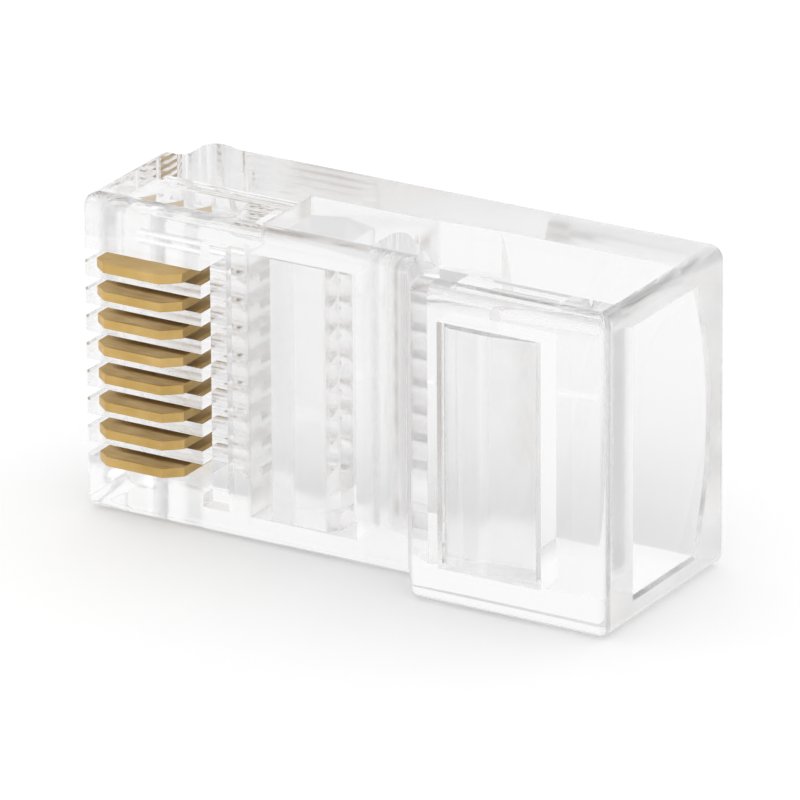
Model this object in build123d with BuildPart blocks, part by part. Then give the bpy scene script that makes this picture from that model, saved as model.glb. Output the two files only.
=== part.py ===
from build123d import *
import os
from math import cos, radians, sin

os.makedirs("parts", exist_ok=True)

# Modular plug with eight contacts, standing on one narrow side.
# X runs from the nose to the cable end, -Y is the contact side, +Y the latch side and Z the plug's width.
# The origin is the middle of the narrow side that the plug stands on. All sizes are millimetres.

# Moulded housing, outside
length = 21.75
width = 11.68
rear_thickness = 8.04
step_depth = 1.6
rear_length = 7.63
step_run = 1.1
edge_radius = 0.5
mouth_edge_radius = 0.3
latch_edge_break = 0.1
nose_radius = 0.2
lip_thickness = 5.0
lip_length = 1.08
lip_root_radius = 0.3
shoulder_radius = 0.6
ridge_length = 1.5
ridge_rise = 0.22

# Contacts and their slots
contact_count = 8
contact_pitch = 1.02
blade_thickness = 0.35
blade_length = 3.4
blade_height = 3.4
blade_proud = 0.84
blade_setback = 0.86
front_bevel_run = 0.52
front_bevel_rise = 0.42
rear_bevel_run = 0.6
rear_bevel_rise = 0.52
tooth_count = 3
tooth_height = 0.9
slot_clearance = 0.09
slot_length = 4.8
slot_mouth_depth = 2.0
nose_wall = 0.75

# Wire guide behind the contacts
channel_radius = 0.55
channel_depth = 3.7
channel_setback = 1.1
guide_length = 6.68
rib_relief_length = 1.03
rib_relief_depth = 0.62
notch_setback = 0.46
notch_length = 0.38
notch_width = 0.34
notch_depth = 1.1

# Wire clamping bar and its pocket
side_wall = 0.98
front_groove = 0.91
wire_bar_length = 2.55
rear_groove = 0.85
wire_bar_clearance = 0.05
wire_bar_chamfer = 0.35
wire_bar_tooth = 0.4
wire_bar_tooth_length = 1.1
funnel_crest_radius = 0.35

# Cable cavity
cavity_length = 7.6
cavity_front_wall = 1.92
cavity_crown_wall = 1.0
cavity_crown = 0.95
mouth_chamfer = 0.12

# Window and cord clamping bar
window_setback = 2.55
window_length = 4.05
window_side_wall = 1.36
cord_bar_clearance = 0.16
cord_bar_hinge_gap = 0.03
cord_bar_knuckle = 0.6
cord_bar_end_gap = 0.36
cord_bar_flat = 2.05
cord_bar_slope = 0.3
cord_bar_bevel = 0.5
cord_bar_inner_drop = 0.02

# Latch
latch_root_setback = 2.9
latch_knuckle = 0.45
latch_hinge_gap = 0.03
latch_angle = 12
latch_wide = 6.0
latch_narrow = 3.2
latch_shoulder_reach = 6.4
latch_reach = 13.8
latch_overlap = 2.5
latch_thickness = 1.15
latch_shoulder_rise = 0.55
latch_root_width = 5.0
latch_shoulder_flat = 1.2
latch_tip_radius = 0.6
latch_edge_radius = 0.3

# Places that follow from the sizes above
nose_x = -length / 2
tail_x = length / 2
back_y = rear_thickness / 2
rear_y = -rear_thickness / 2
front_y = rear_y + step_depth
lip_y = front_y + lip_thickness
lip_end_x = nose_x + lip_length
step_top_x = tail_x - rear_length
step_foot_x = step_top_x - step_run
middle_z = width / 2
inner_width = width - 2 * side_wall

slot_width = blade_thickness + 2 * slot_clearance
slot_end_x = nose_x + slot_length
contact_z = [middle_z + (i - (contact_count - 1) / 2) * contact_pitch for i in range(contact_count)]

channel_y = front_y + channel_depth
channel_near_y = channel_y - channel_radius
channel_far_y = channel_y + channel_radius
guide_end_x = nose_x + guide_length
wire_bar_x = guide_end_x + front_groove
wire_bar_end_x = wire_bar_x + wire_bar_length
pocket_end_x = wire_bar_end_x + rear_groove

cavity_x = tail_x - cavity_length
cavity_near_y = rear_y + cavity_front_wall
cavity_crown_y = back_y - cavity_crown_wall
cavity_side_y = cavity_crown_y - cavity_crown

window_end_x = tail_x - window_setback
window_x = window_end_x - window_length


def nearest(items, *point):
    """The vertex or edge that lies nearest to a point."""
    return items.sort_by_distance(point)[0]


# Housing: one clear moulding, slotted for the contacts and hollow for the wires and the cable
with BuildPart() as housing:
    with BuildSketch(Plane.XY) as outline:
        with BuildLine():
            Polyline(
                (nose_x, front_y),
                (nose_x, lip_y),
                (lip_end_x, lip_y),
                (lip_end_x, back_y + ridge_rise),
                (lip_end_x + ridge_length / 2, back_y + ridge_rise),
                (lip_end_x + ridge_length, back_y),
                (tail_x, back_y),
                (tail_x, rear_y),
                (step_top_x, rear_y),
                (step_foot_x, front_y),
                close=True,
            )
        make_face()
        for x, y, radius in (
            (lip_end_x, lip_y, lip_root_radius),
            (lip_end_x, back_y + ridge_rise, shoulder_radius),
            (lip_end_x + ridge_length / 2, back_y + ridge_rise, shoulder_radius),
            (lip_end_x + ridge_length, back_y, shoulder_radius),
        ):
            fillet(nearest(outline.vertices(), x, y, 0), radius=radius)
    extrude(amount=width)
    rim = housing.faces().filter_by(Axis.Z).edges()
    fillet([edge for edge in rim if edge.center().Y < lip_y / 2], radius=edge_radius)
    for x, y, radius in ((nose_x, front_y, nose_radius), (tail_x, rear_y, mouth_edge_radius)):
        fillet(nearest(housing.edges().filter_by(Axis.Z), x, y, middle_z), radius=radius)
    rim = housing.faces().filter_by(Axis.Z).edges()
    fillet([edge for edge in rim if edge.center().Y > lip_y / 2], radius=latch_edge_break)

    # Cable cavity, flat towards the contact side and arched towards the latch side
    with BuildSketch(Plane.YZ.offset(cavity_x)):
        with BuildLine():
            Line((cavity_side_y, side_wall), (cavity_near_y, side_wall))
            Line((cavity_near_y, side_wall), (cavity_near_y, width - side_wall))
            Line((cavity_near_y, width - side_wall), (cavity_side_y, width - side_wall))
            ThreePointArc(
                (cavity_side_y, width - side_wall),
                (cavity_crown_y, middle_z),
                (cavity_side_y, side_wall),
            )
        make_face()
    extrude(amount=cavity_length, mode=Mode.SUBTRACT)
    mouth = housing.faces().sort_by(Axis.X)[-1]
    chamfer(mouth.inner_wires()[0].edges(), length=mouth_chamfer)

    # Funnel that gathers the wires from the cable cavity into one flat row
    with BuildSketch(Plane.XY.offset(side_wall)):
        with BuildLine():
            Polyline(
                (cavity_x, cavity_near_y),
                (pocket_end_x, channel_near_y),
                (pocket_end_x, channel_far_y),
                (cavity_x, cavity_side_y),
                close=True,
            )
        make_face()
    extrude(amount=inner_width, mode=Mode.SUBTRACT)

    # Pocket of the wire bar, open to the contact side
    with BuildSketch(Plane.XZ.offset(-front_y)):
        with Locations(((guide_end_x + pocket_end_x) / 2, middle_z)):
            Rectangle(pocket_end_x - guide_end_x, inner_width)
    extrude(amount=-(channel_far_y - front_y), mode=Mode.SUBTRACT)
    funnel_crest = nearest(housing.edges().filter_by(Axis.Z), pocket_end_x, channel_near_y, middle_z)
    fillet(funnel_crest, radius=funnel_crest_radius)

    # One round channel for each wire; neighbours break into each other and leave a pointed ridge between
    with BuildSketch(Plane.YZ.offset(nose_x + channel_setback)):
        with Locations(*[(channel_y, z) for z in contact_z]):
            Circle(channel_radius)
    extrude(amount=guide_length - channel_setback, mode=Mode.SUBTRACT)

    # Contact slots, open to the contact side and to the nose
    with BuildSketch(Plane.XZ.offset(-front_y)):
        with Locations(*[(nose_x + slot_length / 2, z) for z in contact_z]):
            Rectangle(slot_length, slot_width)
    extrude(amount=-slot_mouth_depth, mode=Mode.SUBTRACT)
    with BuildSketch(Plane.XZ.offset(-front_y)):
        with Locations(*[(nose_x + (nose_wall + slot_length) / 2, z) for z in contact_z]):
            Rectangle(slot_length - nose_wall, slot_width)
    extrude(amount=-channel_depth, mode=Mode.SUBTRACT)

    # Shallow relief across the ends of the ribs
    with BuildSketch(Plane.XZ.offset(-front_y)):
        with Locations((slot_end_x + rib_relief_length / 2, middle_z)):
            Rectangle(rib_relief_length, inner_width)
    extrude(amount=-rib_relief_depth, mode=Mode.SUBTRACT)

    # Pointed notch over each wire channel, sunk below the face of the rib ends
    notch_x = guide_end_x - notch_setback
    with BuildSketch(Plane.XZ.offset(-front_y - notch_depth)):
        for z in contact_z:
            with BuildLine():
                Polyline(
                    (notch_x, z - notch_width / 2),
                    (notch_x, z + notch_width / 2),
                    (notch_x - notch_length, z),
                    close=True,
                )
            make_face()
    extrude(amount=-(channel_depth - notch_depth), mode=Mode.SUBTRACT)

    # Window of the cord bar, through the wall of the cable cavity
    with BuildSketch(Plane.XZ.offset(-rear_y)):
        with Locations(((window_x + window_end_x) / 2, middle_z)):
            Rectangle(window_length, width - 2 * window_side_wall)
    extrude(amount=-cavity_front_wall, mode=Mode.SUBTRACT)

    # Root block of the latch, with the round seat that the latch bends in
    latch_axis_x = nose_x + latch_root_setback
    latch_axis_y = back_y + latch_knuckle
    seat_radius = latch_knuckle + latch_hinge_gap
    with BuildSketch(Plane.XY.offset(middle_z - latch_root_width / 2)):
        with BuildLine():
            Polyline(
                (lip_end_x + shoulder_radius, back_y - edge_radius),
                (lip_end_x + shoulder_radius, back_y),
                (latch_axis_x, latch_axis_y + latch_knuckle),
                (latch_axis_x, back_y - edge_radius),
                close=True,
            )
        make_face()
    extrude(amount=latch_root_width)
    with BuildSketch(Plane.XY.offset(middle_z - latch_wide / 2)):
        with Locations((latch_axis_x, latch_axis_y)):
            Circle(seat_radius)
    extrude(amount=latch_wide, mode=Mode.SUBTRACT)

housing.part.label = "housing"
export_step(housing.part, "parts/housing.step")

# Latch: a springy lever with two locking shoulders, drawn along its own slope
latch_plane = Plane(
    origin=(latch_axis_x, latch_axis_y, middle_z),
    x_dir=(cos(radians(latch_angle)), sin(radians(latch_angle)), 0),
    z_dir=(0, 0, 1),
)
along_latch = Axis(latch_plane.origin, latch_plane.x_dir)
across_latch = Axis(latch_plane.origin, latch_plane.y_dir)
latch_under = -latch_knuckle * 0.7
latch_top = latch_under + latch_thickness
lever_length = latch_reach - latch_shoulder_reach + latch_overlap
with BuildPart() as latch:
    with BuildSketch(latch_plane):
        with BuildLine():
            Polyline(
                (0, latch_under),
                (latch_shoulder_reach, latch_under),
                (latch_shoulder_reach, latch_top + latch_shoulder_rise),
                (latch_shoulder_reach - latch_shoulder_flat, latch_top + latch_shoulder_rise),
                (latch_knuckle * 2, latch_knuckle),
                (0, latch_knuckle),
                close=True,
            )
        make_face()
    extrude(amount=latch_wide / 2, both=True)
    root_corners = latch.edges().filter_by(across_latch).group_by(along_latch)[0]
    chamfer(root_corners, length=(latch_wide - latch_root_width) / 2 + 0.1)

    with BuildSketch(latch_plane):
        with Locations((latch_shoulder_reach - latch_overlap, latch_under)):
            Rectangle(lever_length, latch_thickness, align=(Align.MIN, Align.MIN))
    extrude(amount=latch_narrow / 2, both=True)
    fillet(latch.edges().filter_by(across_latch).group_by(along_latch)[-1], radius=latch_tip_radius)
    fillet(latch.faces().sort_by(along_latch)[-1].edges().filter_by(Axis.Z), radius=latch_edge_radius)

    with BuildSketch(latch_plane):
        Circle(latch_knuckle)
    extrude(amount=latch_root_width / 2, both=True)

latch.part.label = "latch"
export_step(latch.part, "parts/latch.step")

# Wire bar: a wedge across the pocket that is pushed down on the row of wires
with BuildPart() as wire_bar:
    bar_width = inner_width - 2 * wire_bar_clearance
    with BuildSketch(Plane.XY.offset(side_wall + wire_bar_clearance)):
        with BuildLine():
            Polyline(
                (wire_bar_x, front_y),
                (wire_bar_end_x - wire_bar_chamfer, front_y),
                (wire_bar_end_x, front_y + wire_bar_chamfer),
                (wire_bar_end_x, channel_near_y - wire_bar_tooth),
                (wire_bar_x + wire_bar_tooth_length, channel_near_y),
                (wire_bar_x, channel_near_y - wire_bar_tooth),
                close=True,
            )
        make_face()
    extrude(amount=bar_width)

wire_bar.part.label = "wire_bar"
export_step(wire_bar.part, "parts/wire_bar.step")

# Cord bar: a wedge in the window that swings in on its thin root and grips the cable's jacket
with BuildPart() as cord_bar:
    knuckle_x = window_x + cord_bar_hinge_gap + cord_bar_knuckle
    knuckle_y = rear_y + cord_bar_knuckle
    bar_end_x = window_end_x - cord_bar_end_gap
    bend_x = window_x + cord_bar_flat
    inner_y = cavity_near_y - cord_bar_inner_drop
    with BuildSketch(Plane.XY.offset(window_side_wall + cord_bar_clearance)):
        with BuildLine():
            Polyline(
                (knuckle_x, rear_y),
                (bend_x, rear_y),
                (bar_end_x, rear_y + cord_bar_slope),
                (window_end_x - cord_bar_clearance, rear_y + cord_bar_slope + cord_bar_bevel),
                (bar_end_x, inner_y),
                (knuckle_x + cord_bar_knuckle, inner_y),
                (knuckle_x, knuckle_y + cord_bar_knuckle),
                (knuckle_x, rear_y),
            )
        make_face()
        with Locations((knuckle_x, knuckle_y)):
            Circle(cord_bar_knuckle)
    extrude(amount=width - 2 * (window_side_wall + cord_bar_clearance))

cord_bar.part.label = "cord_bar"
export_step(cord_bar.part, "parts/cord_bar.step")

# Contacts: flat gold-plated blades, standing proud until they are pressed into the wires
blade_x = nose_x + blade_setback
blade_end_x = blade_x + blade_length
blade_y = front_y - blade_proud
tooth_root_y = blade_y + blade_height - tooth_height
tooth_length = blade_length / tooth_count
for number, z in enumerate(reversed(contact_z), start=1):
    with BuildPart() as contact:
        with BuildSketch(Plane.XY.offset(z - blade_thickness / 2)):
            with BuildLine():
                points = [
                    (blade_x, blade_y + front_bevel_rise),
                    (blade_x + front_bevel_run, blade_y),
                    (blade_end_x - rear_bevel_run, blade_y),
                    (blade_end_x, blade_y + rear_bevel_rise),
                    (blade_end_x, tooth_root_y),
                ]
                for tooth in range(tooth_count):
                    root_x = blade_end_x - tooth * tooth_length
                    points.append((root_x - tooth_length / 2, tooth_root_y + tooth_height))
                    points.append((root_x - tooth_length, tooth_root_y))
                Polyline(*points, close=True)
            make_face()
        extrude(amount=blade_thickness)
    name = f"contact_{number}"
    contact.part.label = name
    export_step(contact.part, f"parts/{name}.step")
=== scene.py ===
import math

import bmesh
import bpy
from mathutils import Matrix, Vector


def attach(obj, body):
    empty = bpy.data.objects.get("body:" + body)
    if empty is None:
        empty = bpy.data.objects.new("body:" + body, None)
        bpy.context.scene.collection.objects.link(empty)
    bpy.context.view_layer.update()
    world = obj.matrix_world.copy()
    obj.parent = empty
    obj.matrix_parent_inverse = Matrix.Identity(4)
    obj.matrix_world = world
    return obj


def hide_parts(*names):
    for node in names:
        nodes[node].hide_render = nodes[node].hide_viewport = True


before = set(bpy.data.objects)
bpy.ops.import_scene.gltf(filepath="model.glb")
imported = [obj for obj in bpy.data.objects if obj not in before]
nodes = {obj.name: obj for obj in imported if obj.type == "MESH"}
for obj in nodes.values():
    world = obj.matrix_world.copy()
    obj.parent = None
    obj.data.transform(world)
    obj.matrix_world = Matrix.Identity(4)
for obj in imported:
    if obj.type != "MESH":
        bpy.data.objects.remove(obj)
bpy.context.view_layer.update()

# Camera: a long lens on the contact side, turned towards the cable end
CAMERA_AZIMUTH = math.radians(30.91)
CAMERA_ELEVATION = math.radians(21.3)
CAMERA_ROLL = math.radians(-0.357)
CAMERA_DISTANCE = 0.35701
CAMERA_LENS = 474.87
REAR_FACE_X = 0.010875
REAR_FACE_Y = -0.00402
CAMERA_TARGET = Vector((REAR_FACE_X - 0.00805, REAR_FACE_Y, 0.00721))

# Clear polycarbonate, with a faint tint that each pass through a face picks up
CLEAR_TINT = (0.999, 0.997, 0.999, 1)
CLEAR_INDEX = 1.585
POLISHED = 0.01

# Faces of the housing and latch that the mould leaves satin: a box in millimetres and its roughness
SATIN_FACES = (
    # Slots, ribs and wire channels
    ((-10.8, -3.0, 0.6), (0.3, 3.5, 11.1), 0.07),
    # Face between the wire bar's pocket and the step
    ((0.4, -3.0, -0.1), (3.4, -2.3, 11.8), 0.25),
    # Contact side of the thin part
    ((-11.0, -2.6, -0.1), (3.4, -2.3, 11.8), 0.14),
    # Wall of the pocket on the nose side
    ((-4.3, -3.0, 0.7), (-4.1, 1.9, 11.0), 0.27),
    # Step between the thin and the thick part
    ((2.0, -4.0, -0.1), (3.3, -2.44, 11.8), 0.3),
    # Rim of the mouth
    ((10.79, -4.2, -0.1), (11.0, 4.2, 11.8), 0.2),
    # Back face, on the latch side
    ((-11.0, 3.93, -0.1), (11.0, 4.4, 11.8), 0.12),
)

# Clamping bars: satin on the faces that the crimping tool presses, polished elsewhere
BAR_FACES = ((-11.0, -4.2, -0.1), (11.0, -2.35, 11.8))
BAR_POLISHED = 0.08
BAR_SATIN = (0.2, 0.26)
BAR_GRAIN_SCALE = 900
BAR_GRAIN_HEIGHT = 0.000004

# Gold plating on the contacts, and the break on their stamped edges
GOLD_DARK = (0.56, 0.36, 0.11, 1)
GOLD_LIGHT = (0.72, 0.5, 0.2, 1)
GOLD_METALLIC = 0.8
GOLD_SATIN = (0.3, 0.5)
GOLD_PATCH_SCALE = 700
DRAWN_MARK_SCALE = 9000
DRAWN_MARK_HEIGHT = 0.000003
DRAWN_MARK_STRETCH = (0.12, 1.0, 1.6)
CONTACT_EDGE = 0.000022

# Floor: its own colour, its glow as a white backdrop, a lower glow where it is seen through the plug
# (painted shade that deepens its shadow behind the plug), and a painted pool of light in the plug's
# footprint where it is seen through the plug
FLOOR_COLOUR = (0.7, 0.7, 0.7, 1)
FLOOR_GLOW = 0.36
# Painted shade: a lower glow where the floor is seen through the plug, so its shadow behind the plug
# reads darker
FLOOR_GLOW_PAINTED_SHADE = 0.26
# Painted pool of light: a higher glow inside the plug's footprint where the floor is seen through the
# plug
FLOOR_GLOW_PAINTED_POOL = 0.68
FLOOR_PAINTED_POOL = ((-10.0, -3.2, -1), (10.0, 3.4, 1))
FLOOR_PAINTED_POOL_FADE = 0.0012
FLOOR_HALF = 2.0
FLOOR_GAP = 0.00004
BACKDROP_WHITE = 1.0


def camera():
    """The long lens, turned about its own axis so that the plug stands as in the picture."""
    azimuth, elevation = CAMERA_AZIMUTH, CAMERA_ELEVATION
    back = Vector((
        math.sin(azimuth) * math.cos(elevation),
        -math.cos(azimuth) * math.cos(elevation),
        math.sin(elevation),
    ))
    level = Vector((math.cos(azimuth), math.sin(azimuth), 0))
    raised = back.cross(level)
    right = level * math.cos(CAMERA_ROLL) + raised * math.sin(CAMERA_ROLL)
    up = raised * math.cos(CAMERA_ROLL) - level * math.sin(CAMERA_ROLL)
    data = bpy.data.cameras.new("camera")
    data.lens = CAMERA_LENS
    data.sensor_width = 36
    data.clip_start = 0.01
    data.clip_end = 10
    obj = bpy.data.objects.new("camera", data)
    place = CAMERA_TARGET + back * CAMERA_DISTANCE
    turn = Matrix((right, up, back)).transposed().to_4x4()
    obj.matrix_world = Matrix.Translation(place) @ turn
    bpy.context.scene.collection.objects.link(obj)
    bpy.context.scene.camera = obj


def material(name):
    made = bpy.data.materials.new(name)
    made.use_nodes = True
    tree = made.node_tree
    return made, tree, tree.nodes["Principled BSDF"]


def math_node(tree, operation, first, second):
    node = tree.nodes.new("ShaderNodeMath")
    node.operation = operation
    for socket, value in zip(node.inputs, (first, second)):
        if isinstance(value, (int, float)):
            socket.default_value = value
        else:
            tree.links.new(value, socket)
    return node.outputs[0]


def ranged(tree, value, lowest, highest, at_lowest, at_highest):
    node = tree.nodes.new("ShaderNodeMapRange")
    node.interpolation_type = "SMOOTHSTEP"
    node.inputs["From Min"].default_value = lowest
    node.inputs["From Max"].default_value = highest
    node.inputs["To Min"].default_value = at_lowest
    node.inputs["To Max"].default_value = at_highest
    tree.links.new(value, node.inputs["Value"])
    return node.outputs["Result"]


def vector_node(tree, operation, first, second):
    node = tree.nodes.new("ShaderNodeVectorMath")
    node.operation = operation
    tree.links.new(first, node.inputs[0])
    node.inputs[1].default_value = second
    return node.outputs[0]


def zone(tree, place, low, high, fade=0.00006):
    """1 inside a box given by two corners in millimetres, fading to 0 just outside it."""
    middle = [(a + b) / 2000 for a, b in zip(low, high)]
    half = [(b - a) / 2000 for a, b in zip(low, high)]
    offset = vector_node(tree, "SUBTRACT", place, middle)
    offset = vector_node(tree, "ABSOLUTE", offset, (0, 0, 0))
    offset = vector_node(tree, "SUBTRACT", offset, half)
    split = tree.nodes.new("ShaderNodeSeparateXYZ")
    tree.links.new(offset, split.inputs[0])
    x, y, z = split.outputs
    outside = math_node(tree, "MAXIMUM", x, math_node(tree, "MAXIMUM", y, z))
    return ranged(tree, outside, 0.0, fade, 1.0, 0.0)


def fine_grain(tree, place, scale, height):
    """Very shallow unevenness that every moulded or plated surface has."""
    noise = tree.nodes.new("ShaderNodeTexNoise")
    noise.inputs["Scale"].default_value = scale
    noise.inputs["Detail"].default_value = 2
    tree.links.new(place, noise.inputs["Vector"])
    bump = tree.nodes.new("ShaderNodeBump")
    bump.inputs["Strength"].default_value = 1
    bump.inputs["Distance"].default_value = height
    tree.links.new(noise.outputs["Fac"], bump.inputs["Height"])
    return noise.outputs["Fac"], bump.outputs["Normal"]


def clear_polycarbonate():
    """Clear moulding: polished outside and in the cable cavity, satin where the mould is textured."""
    made, tree, shader = material("clear_polycarbonate")
    shader.inputs["Base Color"].default_value = CLEAR_TINT
    shader.inputs["IOR"].default_value = CLEAR_INDEX
    shader.inputs["Transmission Weight"].default_value = 1
    place = tree.nodes.new("ShaderNodeTexCoord").outputs["Object"]
    roughness = POLISHED
    for low, high, level in SATIN_FACES:
        face = math_node(tree, "MULTIPLY", zone(tree, place, low, high), level)
        roughness = math_node(tree, "MAXIMUM", face, roughness)
    tree.links.new(roughness, shader.inputs["Roughness"])
    return made


def satin_polycarbonate():
    """The clamping bars: the same clear plastic, polished, with satin pressing faces."""
    made, tree, shader = material("satin_polycarbonate")
    shader.inputs["Base Color"].default_value = CLEAR_TINT
    shader.inputs["IOR"].default_value = CLEAR_INDEX
    shader.inputs["Transmission Weight"].default_value = 1
    place = tree.nodes.new("ShaderNodeTexCoord").outputs["Object"]
    mottle, normal = fine_grain(tree, place, BAR_GRAIN_SCALE, BAR_GRAIN_HEIGHT)
    skin = ranged(tree, mottle, 0.3, 0.7, *BAR_SATIN)
    face = zone(tree, place, *BAR_FACES)
    roughness = math_node(tree, "MAXIMUM", math_node(tree, "MULTIPLY", face, skin), BAR_POLISHED)
    tree.links.new(roughness, shader.inputs["Roughness"])
    tree.links.new(normal, shader.inputs["Normal"])
    return made


def gold_plating():
    """Gold over phosphor bronze: a soft satin plate with faint drawing marks along the strip."""
    made, tree, shader = material("gold_plating")
    shader.inputs["Metallic"].default_value = GOLD_METALLIC
    place = tree.nodes.new("ShaderNodeTexCoord").outputs["Object"]
    stretch = tree.nodes.new("ShaderNodeMapping")
    stretch.inputs["Scale"].default_value = DRAWN_MARK_STRETCH
    tree.links.new(place, stretch.inputs["Vector"])
    marks, normal = fine_grain(tree, stretch.outputs[0], DRAWN_MARK_SCALE, DRAWN_MARK_HEIGHT)
    patches = tree.nodes.new("ShaderNodeTexNoise")
    patches.inputs["Scale"].default_value = GOLD_PATCH_SCALE
    patches.inputs["Detail"].default_value = 3
    tree.links.new(place, patches.inputs["Vector"])
    tone = tree.nodes.new("ShaderNodeValToRGB")
    tone.color_ramp.elements[0].position = 0.3
    tone.color_ramp.elements[0].color = GOLD_DARK
    tone.color_ramp.elements[1].position = 0.72
    tone.color_ramp.elements[1].color = GOLD_LIGHT
    tree.links.new(patches.outputs["Fac"], tone.inputs[0])
    tree.links.new(tone.outputs[0], shader.inputs["Base Color"])
    tree.links.new(ranged(tree, marks, 0.3, 0.7, *GOLD_SATIN), shader.inputs["Roughness"])
    tree.links.new(normal, shader.inputs["Normal"])
    return made


def stamped_contact(node, finish):
    """A contact blade with its faces joined up and its stamped edges lightly broken."""
    shape = bmesh.new()
    shape.from_mesh(nodes[node].data)
    bmesh.ops.remove_doubles(shape, verts=shape.verts, dist=0.000001)
    bmesh.ops.dissolve_limit(
        shape, angle_limit=math.radians(1), verts=shape.verts, edges=shape.edges, delimit={"NORMAL"},
    )
    sharp = [edge for edge in shape.edges if edge.calc_face_angle(0) > math.radians(15)]
    bmesh.ops.bevel(
        shape, geom=sharp, offset=CONTACT_EDGE, offset_type="OFFSET", affect="EDGES",
        segments=2, profile=0.5, material=-1, clamp_overlap=True,
    )
    bmesh.ops.recalc_face_normals(shape, faces=shape.faces)
    mesh = bpy.data.meshes.new(node + "_blade")
    shape.to_mesh(mesh)
    shape.free()
    mesh.materials.append(finish)
    blade = bpy.data.objects.new(node + "_blade", mesh)
    bpy.context.scene.collection.objects.link(blade)
    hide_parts(node)
    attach(blade, node)
    return blade


def stage_floor():
    """A pale floor that keeps the plug's shadow; seen through the plug it has a painted pool of light
    beneath the plug and painted shade around it.
    """
    mesh = bpy.data.meshes.new("floor")
    sheet = bmesh.new()
    bmesh.ops.create_grid(sheet, x_segments=1, y_segments=1, size=FLOOR_HALF)
    bmesh.ops.translate(sheet, vec=(0, 0, -FLOOR_GAP), verts=sheet.verts)
    sheet.to_mesh(mesh)
    sheet.free()
    floor = bpy.data.objects.new("floor", mesh)
    bpy.context.scene.collection.objects.link(floor)
    made, tree, shader = material("floor_white")
    tree.nodes.remove(shader)
    output = tree.nodes["Material Output"]
    diffuse = tree.nodes.new("ShaderNodeBsdfDiffuse")
    diffuse.inputs["Color"].default_value = FLOOR_COLOUR
    glow = tree.nodes.new("ShaderNodeEmission")
    glow.inputs["Color"].default_value = (1, 1, 1, 1)
    path = tree.nodes.new("ShaderNodeLightPath")
    place = tree.nodes.new("ShaderNodeTexCoord").outputs["Object"]
    # Painted light and shade for rays through the plug: a painted pool of light inside the footprint,
    # painted shade outside it
    painted_pool = zone(tree, place, *FLOOR_PAINTED_POOL, FLOOR_PAINTED_POOL_FADE)
    painted_glow_through = ranged(tree, painted_pool, 0.0, 1.0, FLOOR_GLOW_PAINTED_SHADE, FLOOR_GLOW_PAINTED_POOL)
    pick = tree.nodes.new("ShaderNodeMix")
    pick.data_type = "FLOAT"
    tree.links.new(path.outputs["Is Transmission Ray"], pick.inputs["Factor"])
    pick.inputs["A"].default_value = FLOOR_GLOW
    tree.links.new(painted_glow_through, pick.inputs["B"])
    tree.links.new(pick.outputs["Result"], glow.inputs["Strength"])
    both = tree.nodes.new("ShaderNodeAddShader")
    tree.links.new(diffuse.outputs[0], both.inputs[0])
    tree.links.new(glow.outputs[0], both.inputs[1])
    seen = math_node(tree, "MAXIMUM", path.outputs["Is Camera Ray"], path.outputs["Is Transmission Ray"])
    seen = math_node(tree, "MAXIMUM", seen, path.outputs["Is Glossy Ray"])
    mix = tree.nodes.new("ShaderNodeMixShader")
    tree.links.new(seen, mix.inputs[0])
    tree.links.new(diffuse.outputs[0], mix.inputs[1])
    tree.links.new(both.outputs[0], mix.inputs[2])
    tree.links.new(mix.outputs[0], output.inputs["Surface"])
    mesh.materials.append(made)


def world_light():
    """An even studio sky: a little lower in front and at the nose, a little higher overhead."""
    world = bpy.data.worlds.new("studio")
    world.use_nodes = True
    bpy.context.scene.world = world
    tree = world.node_tree
    sky = tree.nodes["Background"]
    place = tree.nodes.new("ShaderNodeTexCoord")
    split = tree.nodes.new("ShaderNodeSeparateXYZ")
    tree.links.new(place.outputs["Generated"], split.inputs[0])
    from_front = ranged(tree, split.outputs["Y"], -0.9, -0.2, 0.93, 1.0)
    from_nose = ranged(tree, split.outputs["X"], -0.9, -0.2, 0.9, 1.0)
    level = math_node(tree, "MULTIPLY", from_front, from_nose)
    overhead = ranged(tree, split.outputs["Z"], 0.4, 0.9, 0.0, 1.12)
    level = math_node(tree, "MAXIMUM", level, overhead)
    path = tree.nodes.new("ShaderNodeLightPath")
    pick = tree.nodes.new("ShaderNodeMix")
    pick.data_type = "FLOAT"
    tree.links.new(path.outputs["Is Camera Ray"], pick.inputs["Factor"])
    tree.links.new(level, pick.inputs["A"])
    pick.inputs["B"].default_value = BACKDROP_WHITE
    tree.links.new(pick.outputs["Result"], sky.inputs["Strength"])
    sky.inputs["Color"].default_value = (1, 1, 1, 1)


camera()
clear = clear_polycarbonate()
satin = satin_polycarbonate()
gold = gold_plating()
for name, obj in nodes.items():
    obj.data.materials.clear()
    if name.startswith("contact"):
        obj.data.materials.append(gold)
        stamped_contact(name, gold)
    elif name in ("wire_bar", "cord_bar"):
        obj.data.materials.append(satin)
    else:
        obj.data.materials.append(clear)
stage_floor()
world_light()

scene = bpy.context.scene
scene.view_settings.view_transform = "Standard"
scene.cycles.max_bounces = 32
scene.cycles.transmission_bounces = 32
scene.cycles.glossy_bounces = 24
